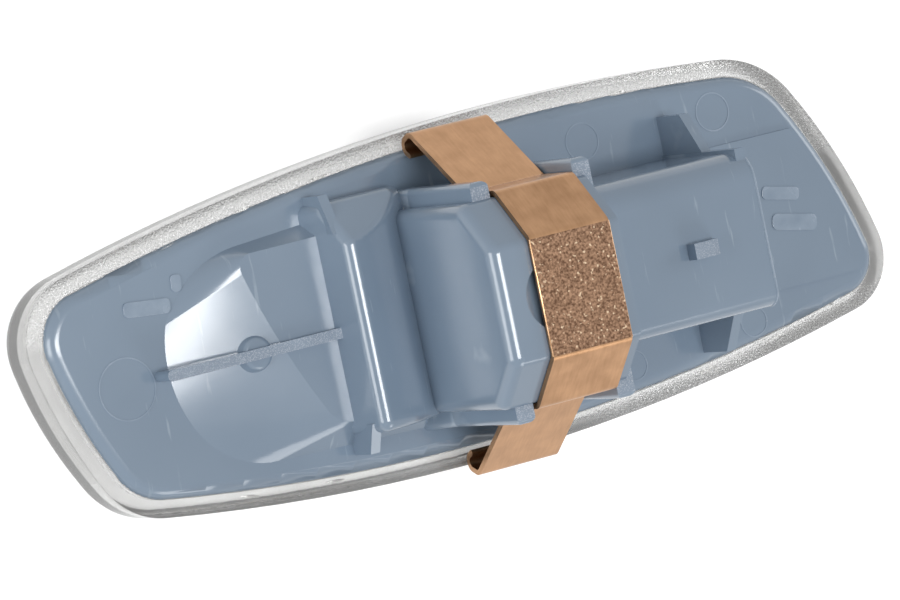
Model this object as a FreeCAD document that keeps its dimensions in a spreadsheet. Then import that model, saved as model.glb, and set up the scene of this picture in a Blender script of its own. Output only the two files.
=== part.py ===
import FreeCAD
import Part
import math
import os
import Sketcher

# Side indicator lamp for a car body panel, lying on its lens with its back up.
# Origin: middle of the spring clip, on the back face of the lens rim that seats on the panel.
# +X runs along the lamp to the mouth of the connector, +Y across it, +Z into the car body.

SIZES = [
    # Plan of the back housing: four corners joined by four bowed sides
    ("left_top_x", -53.5, "upper left corner of the housing plan"),
    ("left_top_y", 9.5, "upper left corner of the housing plan"),
    ("left_low_x", -45.5, "lower left corner of the housing plan"),
    ("left_low_y", -13.0, "lower left corner of the housing plan"),
    ("right_low_x", 54.3, "lower right corner of the housing plan"),
    ("right_low_y", -9.6, "lower right corner of the housing plan"),
    ("right_top_x", 42.5, "upper right corner of the housing plan"),
    ("right_top_y", 16.8, "upper right corner of the housing plan"),
    ("left_bow", 55, "radius of the left side"),
    ("low_bow", 252, "radius of the lower side"),
    ("right_bow", 62, "radius of the right side"),
    ("top_bow", 272, "radius of the upper side"),
    ("left_top_round", 5.5, "rounding of the upper left corner"),
    ("left_low_round", 7.0, "rounding of the lower left corner"),
    ("right_low_round", 4.5, "rounding of the lower right corner"),
    ("right_top_round", 10.0, "rounding of the upper right corner"),
    # Lens
    ("rim_width", 2.0, "clear rim outside the housing"),
    ("lens_depth", 10.0, "lens depth at its crown"),
    ("lens_wall", 2.0, "lens wall"),
    ("lens_round", 2.4, "rounding of the lens front edge"),
    ("cross_crown", 60, "radius of the lens front across the lamp"),
    ("long_crown", 500, "radius of the lens front along the lamp"),
    ("seat_depth", 2.0, "depth of the welded seat below the rim"),
    ("seat_width", 1.4, "width of the ledge that the housing is welded to"),
    ("weld_gap", 0.05, "gap beside the weld"),
    # Housing plate and reflector bulge
    ("housing_wall", 1.8, "wall of the housing"),
    ("plate_top", 1.0, "back of the plate above the rim"),
    ("plate_round", 1.4, "rounding of the plate edge"),
    ("foot_top_x", -28.4, "top point round the foot of the bulge"),
    ("foot_top_y", 11.8, "top point round the foot of the bulge"),
    ("foot_upper_x", -39.96, "upper point round the foot of the bulge"),
    ("foot_upper_y", 4.46, "upper point round the foot of the bulge"),
    ("foot_lower_x", -40.5, "lower point round the foot of the bulge"),
    ("foot_lower_y", -5.73, "lower point round the foot of the bulge"),
    ("foot_low_x", -29.8, "low point round the foot of the bulge"),
    ("foot_low_y", -12.9, "low point round the foot of the bulge"),
    ("foot_left_bow", 1.22, "bow of the left side of the foot of the bulge"),
    ("foot_top_bow", 1.68, "bow of the upper corner of the foot of the bulge"),
    ("foot_low_bow", 1.86, "bow of the lower corner of the foot of the bulge"),
    ("foot_half", 13.5, "half width of the foot of the bulge at the tower"),
    ("flat_top_x", -27.4, "top point round the flat of the bulge"),
    ("flat_top_y", 10.7, "top point round the flat of the bulge"),
    ("flat_upper_x", -28.94, "upper point round the flat of the bulge"),
    ("flat_upper_y", 8.61, "upper point round the flat of the bulge"),
    ("flat_lower_x", -21.95, "lower point round the flat of the bulge"),
    ("flat_lower_y", -8.19, "lower point round the flat of the bulge"),
    ("flat_low_x", -18.9, "low point round the flat of the bulge"),
    ("flat_low_y", -10.11, "low point round the flat of the bulge"),
    ("flat_left_bow", 0.48, "bow of the left side of the flat of the bulge"),
    ("flat_top_bow", 0.65, "bow of the upper corner of the flat of the bulge"),
    ("flat_low_bow", 0.47, "bow of the lower corner of the flat of the bulge"),
    ("flat_half", 10.8, "half width of the flat of the bulge at the tower"),
    ("bulge_top", 3.2, "height of the flat on the bulge"),
    ("ridge_left_x", -19.8, "foot of the ridge beside the tower"),
    ("ridge_lean", 1.9, "lean of the steep side of the ridge"),
    ("ridge_top", 8.0, "crest of the ridge"),
    ("ridge_valley", 3.9, "foot of the ridge at the tower"),
    ("ridge_rise", 0.9, "bow of the back of the ridge"),
    ("ridge_low_y", -11.8, "lower end of the ridge"),
    ("ridge_top_y", 14.2, "upper end of the ridge"),
    ("ridge_slope_y", 9.6, "upper end of the crest"),
    ("ridge_slope_drop", 4.0, "fall of the slope from the crest to the upper end"),
    ("ridge_crest_round", 1.2, "rounding of the crest"),
    ("rib_left_x", -40.8, "free end of the centre rib"),
    ("rib_width", 1.2, "thickness of the centre rib"),
    ("rib_y", -0.2, "middle of the centre rib"),
    ("rib_top", 4.2, "top of the centre rib"),
    ("rib_round", 0.5, "rounding of the free end of the rib"),
    ("boss_x", -29.0, "round boss on the centre rib"),
    ("boss_foot", 3.2, "radius of the foot of the boss"),
    ("boss_tip", 1.7, "radius of the top of the boss"),
    ("boss_round", 0.5, "rounding of the top of the boss"),
    ("boss_top", 3.4, "top of the round boss"),
    # Bulb tower
    ("tower_left_x", -9.9, "end wall of the bulb tower"),
    ("tower_right_x", 6.7, "end of the tower at the connector"),
    ("tower_half", 11.5, "half width of the tower"),
    ("tower_bevel", 5.1, "bevel beside the top of the tower"),
    ("tower_round", 1.4, "rounding of the tower edges"),
    ("vent_radius", 4.05, "round recess in the top of the tower"),
    ("vent_x", -2.55, "round recess in the top of the tower"),
    ("vent_depth", 0.8, "depth of the round recess"),
    # Spring clip and the posts that keep it in place
    ("clip_width", 10.2, "width of the strip"),
    ("clip_sheet", 0.6, "thickness of the strip"),
    ("clip_gap", 0.1, "gap between the strip and the tower"),
    ("clip_bend", 0.6, "inner radius of the bends"),
    ("clip_knee_z", 13.2, "height at which the legs flare"),
    ("clip_flare", 7.4, "outward reach of the legs"),
    ("hook_heel_z", 3.4, "height at which the curl of a leg starts"),
    ("hook_low_z", 0.5, "lowest point of the curl"),
    ("hook_end_z", 2.6, "height of the free end of the curl"),
    ("hook_reach", 1.2, "inward reach of each side of the curl"),
    ("post_length", 2.3, "length of a guide post along the lamp"),
    ("post_depth", 2.0, "reach of a guide post from the tower"),
    ("post_top", 19.0, "top of the guide posts"),
    ("post_gap", 0.3, "gap between the posts and the strip"),
    ("post_round", 0.7, "rounding of the guide posts"),
    ("post_flare", 2.2, "spread of the foot of a guide post"),
    ("post_flare_z", 5.0, "height of the foot of a guide post"),
    # Connector shroud
    ("shroud_y", 0.8, "middle of the connector"),
    ("shroud_half", 8.9, "half width of the shroud"),
    ("shroud_top", 17.6, "top of the shroud"),
    ("shroud_top_round", 3.4, "rounding of the upper shoulder"),
    ("shroud_low_round", 2.0, "rounding of the lower shoulder"),
    ("mouth_x", 29.2, "mouth of the connector"),
    ("socket_back_x", 12.0, "back of the connector socket"),
    ("socket_floor", 4.2, "floor of the connector socket"),
    ("socket_wall", 1.6, "wall of the connector socket"),
    ("socket_round", 1.8, "rounding inside the socket"),
    ("nub_x", 18.7, "latch nub on the shroud"),
    ("nub_y", 0.2, "middle of the latch nub"),
    ("nub_length", 3.1, "latch nub on the shroud"),
    ("nub_width", 1.8, "latch nub on the shroud"),
    ("nub_height", 1.7, "latch nub on the shroud"),
    ("nub_slope", 0.5, "sloped side of the latch nub"),
    ("ear_length", 1.3, "squared ear beside the mouth"),
    ("ear_inset", 2.4, "part of the ear inside the wall"),
    ("ear_reach", 0.35, "reach of the ear beyond the wall"),
    ("ear_top", 16.6, "top of the ear"),
    ("step_height", 0.45, "raised step in front of the mouth"),
    ("step_inset", 1.6, "distance from the step to the plate edge"),
    # Gussets
    ("gusset_sheet", 1.2, "thickness of the gussets"),
    ("mouth_gusset_top", 6.0, "height of the gussets beside the mouth at their free ends"),
    ("mouth_gusset_rise", 3.8, "rise of the gussets beside the mouth to their wall"),
    ("mouth_gusset_reach", 4.8, "reach of the gussets beside the mouth from their wall"),
    ("mouth_gusset_inset", 1.0, "distance from the gussets to the mouth"),
    ("ridge_gusset_top", 4.6, "height of the gussets at the ridge at their free ends"),
    ("ridge_gusset_rise", 1.8, "rise of the gussets at the ridge"),
    ("ridge_top_gusset_reach", 0.9, "reach of the upper gusset at the ridge"),
    ("ridge_low_gusset_reach", 2.2, "reach of the lower gusset at the ridge"),
    # Contact strips
    ("contact_pitch", 5.2, "distance between the two contacts"),
    ("contact_width", 2.8, "width of a contact strip"),
    ("contact_sheet", 0.8, "thickness of a contact strip"),
    ("contact_gap", 0.05, "gap round a contact in the housing"),
    ("blade_z", 10.0, "middle of the blades"),
    ("blade_tip_x", 24.5, "tips of the blades"),
    ("blade_point", 0.25, "bevel of the blade tips"),
    ("grip_length", 6.0, "length of the grips on the bulb base"),
    # Wedge bulb
    ("bulb_x", -1.6, "axis of the bulb"),
    ("bulb_radius", 5.1, "radius of the glass"),
    ("bulb_wall", 0.6, "wall of the glass"),
    ("bulb_length", 26.8, "length of the bulb"),
    ("tip_gap", 1.6, "room between the bulb and the lens"),
    ("roof_room", 4.0, "height of the tower above the bulb base"),
    ("pinch_length", 7.4, "length of the flat base"),
    ("pinch_width", 9.5, "width of the flat base"),
    ("pinch_sheet", 2.1, "thickness of the flat base"),
    ("neck_length", 3.4, "tapered neck of the glass"),
    ("neck_radius", 2.2, "narrow end of the neck"),
    ("wire_radius", 0.2, "lead wire"),
    ("wire_pitch", 5.2, "distance between the lead wires"),
    ("wire_fold", 4.6, "length of wire folded along the base"),
    ("filament_z", 4.0, "height of the filament"),
    ("filament_radius", 0.45, "outer radius of the filament coil"),
]

DIAGONAL_INSET = 2 - math.sqrt(2)
SINK = 0.4
FAR = 70.0
BULB_BASE = "( bulb_length + lens_wall + tip_gap - lens_depth )"
TOWER_TOP = f"( {BULB_BASE} + roof_room )"
TOP_WALL = "( shroud_y + shroud_half )"
LOW_WALL = "( shroud_y - shroud_half )"

ALIASES = {alias for alias, value, meaning in SIZES}

doc = FreeCAD.newDocument("indicator_lamp")
sheet = doc.addObject("Spreadsheet::Sheet", "size")
for row, (alias, value, meaning) in enumerate(SIZES, start=1):
    sheet.set(f"A{row}", meaning)
    sheet.set(f"B{row}", str(value))
    sheet.setAlias(f"B{row}", alias)
doc.recompute()

Vector = FreeCAD.Vector
UPRIGHT = {
    "XY": FreeCAD.Rotation(),
    "XZ": FreeCAD.Rotation(Vector(1, 0, 0), 90),
    "YZ": FreeCAD.Rotation(Vector(1, 1, 1), 120),
}


def number(alias):
    """A size from the sheet as a plain number."""
    return float(sheet.get(alias))


def formula(text):
    """The text of an expression with each alias tied to the sheet."""
    words = []
    for word in str(text).replace("(", " ( ").replace(")", " ) ").split():
        words.append(f"size.{word}" if word in ALIASES else word)
    return " ".join(words)


def bind(item, **expressions):
    """Ties properties of an object to the sheet; a double underscore stands for a dot."""
    for name, text in expressions.items():
        item.setExpression(name.replace("__", "."), formula(text))


def place(item, x="0", y="0", z="0", rotation=None):
    """Puts an object at sizes from the sheet."""
    item.Placement = FreeCAD.Placement(Vector(), rotation or FreeCAD.Rotation())
    bind(item, Placement__Base__x=x, Placement__Base__y=y, Placement__Base__z=z)


def box(name, x, y, z):
    """A block between two sizes along each axis."""
    item = doc.addObject("Part::Box", name)
    bind(item, Length=f"{x[1]} - ( {x[0]} )", Width=f"{y[1]} - ( {y[0]} )", Height=f"{z[1]} - ( {z[0]} )")
    place(item, x[0], y[0], z[0])
    return item


def cylinder(name, radius, height, x, y, z, rotation=None):
    """A round bar that rises from its foot."""
    item = doc.addObject("Part::Cylinder", name)
    bind(item, Radius=radius, Height=height)
    place(item, x, y, z, rotation)
    return item


def cone(name, foot, tip, height, x, y, z):
    """A round taper that rises from its foot."""
    item = doc.addObject("Part::Cone", name)
    bind(item, Radius1=foot, Radius2=tip, Height=height)
    place(item, x, y, z)
    return item


def ball(name, radius, x, y, z):
    """A ball round its middle."""
    item = doc.addObject("Part::Sphere", name)
    bind(item, Radius=radius)
    place(item, x, y, z)
    return item


def fuse(name, items):
    """One solid out of several."""
    item = doc.addObject("Part::MultiFuse", name)
    item.Shapes = items
    return item


def cut(name, base, tool):
    """The base without the tool."""
    item = doc.addObject("Part::Cut", name)
    item.Base = base
    item.Tool = tool
    return item


def common(name, items):
    """What several solids share."""
    item = doc.addObject("Part::MultiCommon", name)
    item.Shapes = items
    return item


def mirror(name, source, normal):
    """The mirror image of a solid through the origin."""
    item = doc.addObject("Part::Mirroring", name)
    item.Source = source
    item.Normal = normal
    return item


def extrude(name, profile, direction, length):
    """A profile drawn out along a direction."""
    item = doc.addObject("Part::Extrusion", name)
    item.Base = profile
    item.DirMode = "Custom"
    item.Dir = direction
    item.Solid = True
    bind(item, LengthFwd=length)
    return item


def fillet(name, base, radius, wanted):
    """Rounds the edges that the test picks; the radius may depend on the edge."""
    doc.recompute()
    item = doc.addObject("Part::Fillet", name)
    item.Base = base
    rounded = []
    for place_in_list, edge in enumerate(base.Shape.Edges, start=1):
        if wanted(edge):
            size = radius(edge) if callable(radius) else number(radius)
            rounded.append((place_in_list, size, size))
    item.Edges = rounded
    return item


def middle(edge):
    """The point half way along an edge."""
    return edge.valueAt((edge.FirstParameter + edge.LastParameter) / 2)


def runs_along(edge, axis):
    """Whether an edge is straight along an axis."""
    start = edge.valueAt(edge.FirstParameter)
    span = edge.valueAt(edge.LastParameter).sub(start)
    return edge.Curve.TypeId == "Part::GeomLine" and abs(span.normalize().dot(axis)) > 0.999


def worth(text):
    """The value of an expression on the sheet's sizes."""
    return float(sheet.evalExpression(formula(text)))


def pin(sketch, kind, geometry, vertex, text):
    """Ties one coordinate of a sketch vertex to the sheet."""
    index = sketch.addConstraint(Sketcher.Constraint(kind, -1, 1, geometry, vertex, worth(text)))
    sketch.setExpression(f"Constraints[{index}]", formula(text))


def new_sketch(name, plane, x="0", y="0", z="0"):
    """An empty sketch on a plane at sizes from the sheet."""
    sketch = doc.addObject("Sketcher::SketchObject", name)
    place(sketch, x, y, z, UPRIGHT[plane])
    return sketch


def chain(sketch, points, closed):
    """Straight lines between points whose coordinates come from the sheet."""
    spots = [Vector(worth(across), worth(up), 0) for across, up in points]
    count = len(points) if closed else len(points) - 1
    for index in range(count):
        sketch.addGeometry(Part.LineSegment(spots[index], spots[(index + 1) % len(points)]), False)
    for index in range(count if closed else count - 1):
        sketch.addConstraint(Sketcher.Constraint("Coincident", index, 2, (index + 1) % count, 1))
    for index, (across, up) in enumerate(points):
        geometry, vertex = (index, 1) if index < count else (count - 1, 2)
        pin(sketch, "DistanceX", geometry, vertex, across)
        pin(sketch, "DistanceY", geometry, vertex, up)


def polygon(name, plane, points, x="0", y="0", z="0"):
    """A closed profile of straight lines."""
    sketch = new_sketch(name, plane, x, y, z)
    chain(sketch, points, True)
    return sketch


def bow_radius(start, end, rise):
    """The radius of an arc between two points that bows by a rise."""
    half_squared = f"( ( {start[0]} - ( {end[0]} ) ) ^ 2 + ( {start[1]} - ( {end[1]} ) ) ^ 2 ) / 4"
    return f"( {half_squared} + ( {rise} ) ^ 2 ) / ( 2 * ( {rise} ) )"


def bowed_side(start, end, rise):
    """An arc between two points that bows to the right of the way between them."""
    way = end.sub(start)
    outward = Vector(way.y, -way.x, 0).normalize()
    return Part.Arc(start, start.add(end).multiply(0.5).add(outward.multiply(rise)), end)


def bowed_loop(name, plane, points, rises, x="0", y="0", z="0"):
    """A closed counter-clockwise profile whose sides may bow out by a rise."""
    sketch = new_sketch(name, plane, x, y, z)
    spots = [Vector(worth(across), worth(up), 0) for across, up in points]
    count = len(points)
    for index, rise in enumerate(rises):
        start, end = spots[index], spots[(index + 1) % count]
        side = bowed_side(start, end, worth(rise)) if rise else Part.LineSegment(start, end)
        sketch.addGeometry(side, False)
    for index, (across, up) in enumerate(points):
        sketch.addConstraint(Sketcher.Constraint("Coincident", index, 2, (index + 1) % count, 1))
        pin(sketch, "DistanceX", index, 1, across)
        pin(sketch, "DistanceY", index, 1, up)
    for index, rise in enumerate(rises):
        if rise:
            radius = bow_radius(points[index], points[(index + 1) % count], rise)
            bow = sketch.addConstraint(Sketcher.Constraint("Radius", index, worth(radius)))
            sketch.setExpression(f"Constraints[{bow}]", formula(radius))
    return sketch


X_AXIS = Vector(1, 0, 0)
Y_AXIS = Vector(0, 1, 0)
Z_AXIS = Vector(0, 0, 1)
LYING = FreeCAD.Rotation(Vector(1, 0, 0), -90)

# Plan of the housing, counter-clockwise from the upper left corner
CORNERS = ["left_top", "left_low", "right_low", "right_top"]
BOWS = ["left_bow", "low_bow", "right_bow", "top_bow"]


def draw_plan():
    """The housing plan as a sketch of four arcs."""
    sketch = new_sketch("housing_plan", "XY")
    spots = [Vector(number(f"{corner}_x"), number(f"{corner}_y"), 0) for corner in CORNERS]
    for index, bow in enumerate(BOWS):
        start, end = spots[index], spots[(index + 1) % len(spots)]
        radius = number(bow)
        rise = radius - math.sqrt(radius ** 2 - (end.sub(start).Length / 2) ** 2)
        sketch.addGeometry(bowed_side(start, end, rise), False)
    for index, corner in enumerate(CORNERS):
        sketch.addConstraint(Sketcher.Constraint("Coincident", index, 2, (index + 1) % len(CORNERS), 1))
        pin(sketch, "DistanceX", index, 1, f"{corner}_x")
        pin(sketch, "DistanceY", index, 1, f"{corner}_y")
        arc_radius = sketch.addConstraint(Sketcher.Constraint("Radius", index, number(BOWS[index])))
        sketch.setExpression(f"Constraints[{arc_radius}]", formula(BOWS[index]))
    return sketch


plan = draw_plan()


def plan_block(name, offset, low, high):
    """The plan, grown by an offset and with its corners rounded, between two heights."""
    outline = doc.addObject("Part::Offset2D", f"{name}_line")
    outline.Source = plan
    outline.Join = "Intersection"
    bind(outline, Value=offset)
    block = extrude(f"{name}_block", outline, Z_AXIS, f"{high} - ( {low} )")
    place(block, z=low)
    grown = worth(offset)

    def corner_round(edge):
        spot = middle(edge)
        side = "left" if spot.x < 0 else "right"
        level = "top" if spot.y > 0 else "low"
        return number(f"{side}_{level}_round") + grown

    return fillet(name, block, corner_round, lambda edge: runs_along(edge, Z_AXIS))


# Lens: a crowned clear shell with a seat for the housing inside its rim
def crown(name, inset):
    """A barrel whose belly is the lens front, drawn in by an inset."""
    sketch = new_sketch(f"{name}_profile", "XZ")
    axis_z = "cross_crown - lens_depth"
    radius = number("long_crown") - worth(inset)
    centre = Vector(0, number("long_crown") - number("lens_depth"), 0)
    end_z = centre.y - math.sqrt(radius ** 2 - FAR ** 2)
    ends = [Vector(-FAR, end_z, 0), Vector(FAR, end_z, 0)]
    spine = [Vector(FAR, worth(axis_z), 0), Vector(-FAR, worth(axis_z), 0)]
    sketch.addGeometry(Part.Arc(ends[0], Vector(0, centre.y - radius, 0), ends[1]), False)
    sketch.addGeometry(Part.LineSegment(ends[1], spine[0]), False)
    sketch.addGeometry(Part.LineSegment(spine[0], spine[1]), False)
    sketch.addGeometry(Part.LineSegment(spine[1], ends[0]), False)
    for index in range(4):
        sketch.addConstraint(Sketcher.Constraint("Coincident", index, 2, (index + 1) % 4, 1))
    for index, across in ((2, FAR), (3, -FAR)):
        pin(sketch, "DistanceX", index, 1, across)
        pin(sketch, "DistanceY", index, 1, axis_z)
    sketch.addConstraint(Sketcher.Constraint("Vertical", 1))
    sketch.addConstraint(Sketcher.Constraint("Vertical", 3))
    pin(sketch, "DistanceX", 0, 3, "0")
    pin(sketch, "DistanceY", 0, 3, "long_crown - lens_depth")
    bend = sketch.addConstraint(Sketcher.Constraint("Radius", 0, radius))
    sketch.setExpression(f"Constraints[{bend}]", formula(f"long_crown - ( {inset} )"))
    barrel = doc.addObject("Part::Revolution", name)
    barrel.Source = sketch
    barrel.Axis = X_AXIS
    barrel.Angle = 360
    barrel.Solid = True
    bind(barrel, Base__z=axis_z)
    return barrel


def is_front_edge(edge):
    """Whether an edge lies round the lens front, not up a side."""
    spread = edge.BoundBox.XLength + edge.BoundBox.YLength
    return edge.BoundBox.ZMax < -number("seat_depth") and spread > number("lens_wall")


def make_lens():
    """The lens with its hollow and its weld seat."""
    below = "- lens_depth - rim_width"
    side = plan_block("lens_side", "rim_width", below, "0")
    outside = common("lens_outside", [side, crown("lens_front", "0")])
    soft = fillet("lens_soft", outside, "lens_round", is_front_edge)
    hollow_side = plan_block("hollow_side", "- seat_width", below, f"{SINK}")
    hollow = common("lens_hollow", [hollow_side, crown("hollow_front", "lens_wall")])
    seat = plan_block("lens_seat", "weld_gap", "- seat_depth", f"{SINK}")
    return cut("lens", soft, fuse("lens_inside", [hollow, seat]))


# Housing: plate, reflector bulge, bulb tower, clip posts and connector shroud in one moulding
def bulge_ring(name, level, z):
    """The outline of the bulge at its foot or round its flat, closed inside the tower."""
    right = "tower_left_x + housing_wall"
    turns = [(f"{level}_{spot}_x", f"{level}_{spot}_y") for spot in ("top", "upper", "lower", "low")]
    corners = turns + [(right, f"- {level}_half"), (right, f"{level}_half")]
    bows = [f"{level}_top_bow", f"{level}_left_bow", f"{level}_low_bow", None, None, None]
    return bowed_loop(name, "XY", corners, bows, z=z)


def bulge(name, drop):
    """The reflector bulge between its foot and its flat, lowered by a drop."""
    item = doc.addObject("Part::Loft", name)
    item.Sections = [
        bulge_ring(f"{name}_foot", "foot", f"plate_top - {SINK} - {drop}"),
        bulge_ring(f"{name}_flat", "flat", f"bulge_top - {drop}"),
    ]
    item.Solid = True
    item.Ruled = True
    return item


def ridge_slope(name, inset):
    """The room above the slope at the upper end of the ridge, drawn in by an inset."""
    above = f"ridge_top + ridge_rise + {SINK}"
    crest = f"ridge_top - {inset}"
    end = f"ridge_top_y + {SINK}"
    corners = [
        (f"ridge_slope_y - {inset}", crest),
        (end, f"{crest} - ridge_slope_drop"),
        (end, above),
        (f"ridge_slope_y - {inset}", above),
    ]
    side = polygon(f"{name}_side", "YZ", corners, x=f"ridge_left_x - {SINK}")
    return extrude(name, side, X_AXIS, f"tower_left_x - ridge_left_x + housing_wall + 2 * {SINK}")


def ridge(name, inset, foot):
    """The ridge beside the tower: a steep side, a bowed back, both drawn in by an inset."""
    left = f"ridge_left_x + {inset}"
    right = "tower_left_x + housing_wall"
    corners = [
        (left, foot),
        (right, foot),
        (right, f"ridge_valley - {inset}"),
        (f"{left} + ridge_lean", f"ridge_top - {inset}"),
    ]
    bows = [None, None, "ridge_rise", None]
    section = bowed_loop(f"{name}_section", "XZ", corners, bows, y=f"ridge_top_y - {inset}")
    block = extrude(f"{name}_block", section, Y_AXIS * -1, f"ridge_top_y - ridge_low_y - 2 * {inset}")
    return cut(name, block, ridge_slope(f"{name}_slope", inset))


def tower(name, inset, left, right, foot):
    """The tower's eight-sided section drawn out along the lamp."""
    half = f"( tower_half - {inset} )"
    top = f"( {TOWER_TOP} - {inset} )"
    bevel = f"( tower_bevel - {inset} * {DIAGONAL_INSET} )"
    section = polygon(
        f"{name}_section",
        "YZ",
        [
            (f"- {half}", foot),
            (half, foot),
            (half, f"{top} - {bevel}"),
            (f"{half} - {bevel}", top),
            (f"- {half} + {bevel}", top),
            (f"- {half}", f"{top} - {bevel}"),
        ],
        x=left,
    )
    return extrude(name, section, X_AXIS, f"{right} - ( {left} )")


def make_post(name, side, level):
    """A guide post beside the strip with a spread foot, at one end of the tower and on one side of it."""
    near = f"{side} * ( clip_width / 2 + post_gap )"
    far = f"{side} * ( clip_width / 2 + post_gap + post_length )"
    spread = f"{side} * ( clip_width / 2 + post_gap + post_length + post_flare )"
    profile = polygon(
        f"{name}_side",
        "XZ",
        [(near, "0"), (spread, "0"), (far, "post_flare_z"), (far, "post_top"), (near, "post_top")],
        y=f"{level} * ( tower_half - tower_round )",
    )
    block = extrude(f"{name}_block", profile, Y_AXIS * level, "post_depth + tower_round")
    reach = level * worth("tower_half + post_depth")

    def on_free_face(edge):
        return abs(middle(edge).y - reach) < SINK / 2 and middle(edge).z > SINK

    return fillet(name, block, "post_round", on_free_face)


def gusset(name, wall, x, inner, outer):
    """A thin rib that stiffens a wall: it rises from its free end to its end in the wall."""
    corners = [
        (inner, "0"),
        (outer, "0"),
        (outer, f"{wall}_gusset_top"),
        (inner, f"{wall}_gusset_top + {wall}_gusset_rise"),
    ]
    return extrude(name, polygon(f"{name}_side", "YZ", corners, x=x), X_AXIS, "gusset_sheet")


def make_shroud():
    """The outside of the connector shroud with its rounded shoulders."""
    block = box(
        "shroud_block",
        ("tower_right_x - tower_round * 2", "mouth_x"),
        ("shroud_y - shroud_half", "shroud_y + shroud_half"),
        ("0", "shroud_top"),
    )
    top = number("shroud_top")

    def is_shoulder(edge):
        return runs_along(edge, X_AXIS) and abs(middle(edge).z - top) < SINK / 2

    def shoulder_round(edge):
        return number("shroud_top_round" if middle(edge).y > number("shroud_y") else "shroud_low_round")

    soft = fillet("shroud_soft", block, shoulder_round, is_shoulder)
    ear = box(
        "mouth_ear",
        ("mouth_x - ear_length", "mouth_x"),
        (f"{TOP_WALL} - ear_inset", f"{TOP_WALL} + ear_reach"),
        ("0", "ear_top"),
    )
    return fuse("shroud", [soft, ear])


def make_socket():
    """The hollow of the connector, open at its mouth."""
    block = box(
        "socket_block",
        ("socket_back_x", f"mouth_x + {SINK}"),
        ("shroud_y - shroud_half + socket_wall", "shroud_y + shroud_half - socket_wall"),
        ("socket_floor", "shroud_top - socket_wall"),
    )
    return fillet("socket", block, "socket_round", lambda edge: runs_along(edge, X_AXIS))


def make_nub():
    """The latch nub with its sloped side towards the mouth."""
    foot = f"shroud_top - {SINK}"
    top = "shroud_top + nub_height"
    side = [
        ("nub_x", foot),
        ("nub_x + nub_length + nub_slope", foot),
        ("nub_x + nub_length", top),
        ("nub_x", top),
    ]
    profile = polygon("nub_side", "XZ", side, y="nub_y + nub_width / 2")
    return extrude("nub", profile, Y_AXIS * -1, "nub_width")


def make_plate():
    """The plate with its rounded edge."""
    block = plan_block("plate_block", "0", "- seat_depth", "plate_top")
    top = number("plate_top")
    return fillet("plate", block, "plate_round", lambda edge: abs(edge.BoundBox.ZMin - top) < SINK / 4)


def make_step():
    """The raised step that runs from the connector to the end of the plate."""
    band = box(
        "step_band",
        ("0", f"{FAR}"),
        ("shroud_y - shroud_half", "shroud_y + shroud_half"),
        ("0", "plate_top + step_height"),
    )
    area = plan_block("step_area", "- step_inset", "0", "plate_top + step_height")
    return common("step", [band, area])


def make_tower():
    """The outside of the tower with its edges rounded."""
    block = tower("tower_block", "0", "tower_left_x", "tower_right_x", "0")
    left = number("tower_left_x")

    def is_open_edge(edge):
        on_end_wall = abs(edge.BoundBox.XMax - left) < SINK / 4
        return (on_end_wall or runs_along(edge, X_AXIS)) and edge.BoundBox.ZMax > SINK

    return fillet("tower", block, "tower_round", is_open_edge)


def make_rib():
    """The centre rib with its rounded free end."""
    block = box(
        "rib_block",
        ("rib_left_x", "ridge_left_x + ridge_lean"),
        ("rib_y - rib_width / 2", "rib_y + rib_width / 2"),
        ("0", "rib_top"),
    )
    free_end = number("rib_left_x")

    def at_free_end(edge):
        return runs_along(edge, Z_AXIS) and abs(middle(edge).x - free_end) < SINK

    return fillet("rib", block, "rib_round", at_free_end)


def make_boss():
    """The round boss on the rib with its soft top."""
    top = number("boss_top")
    block = cone("boss_block", "boss_foot", "boss_tip", "boss_top", "boss_x", "rib_y", "0")
    return fillet("boss", block, "boss_round", lambda edge: edge.BoundBox.ZMin > top - SINK)


def make_ridge():
    """The ridge with its crest and its ends rounded."""

    def is_open_edge(edge):
        inside_tower = middle(edge).x > number("tower_left_x") and edge.BoundBox.XLength < SINK
        return middle(edge).z > SINK and not inside_tower

    return fillet("ridge", ridge("ridge_sharp", "0", "0"), "ridge_crest_round", is_open_edge)


def make_gussets():
    """Two gussets beside the mouth and two at the ends of the ridge."""
    mouth_x = "mouth_x - mouth_gusset_inset"
    ridge_x = "ridge_left_x + gusset_sheet"
    mouth_ends = {
        "mouth_top_gusset": (f"{TOP_WALL} - {SINK}", f"{TOP_WALL} + mouth_gusset_reach"),
        "mouth_low_gusset": (f"{LOW_WALL} + {SINK}", f"{LOW_WALL} - mouth_gusset_reach"),
    }
    ridge_ends = {
        "ridge_top_gusset": ("ridge_slope_y + ridge_crest_round", "ridge_top_y + ridge_top_gusset_reach"),
        "ridge_low_gusset": ("ridge_low_y + ridge_crest_round", "ridge_low_y - ridge_low_gusset_reach"),
    }
    beside_mouth = [gusset(name, "mouth", mouth_x, *ends) for name, ends in mouth_ends.items()]
    return beside_mouth + [gusset(name, "ridge", ridge_x, *ends) for name, ends in ridge_ends.items()]


def make_outside():
    """Everything that stands on the back of the housing."""
    pieces = [
        make_plate(),
        bulge("bulge", "0"),
        make_ridge(),
        make_rib(),
        make_boss(),
        make_tower(),
        make_shroud(),
        make_nub(),
        make_step(),
    ]
    for side, end in ((-1, "left"), (1, "right")):
        for level, edge_name in ((-1, "low"), (1, "top")):
            pieces.append(make_post(f"{end}_{edge_name}_post", side, level))
    return fuse("housing_outside", pieces + make_gussets())


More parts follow.
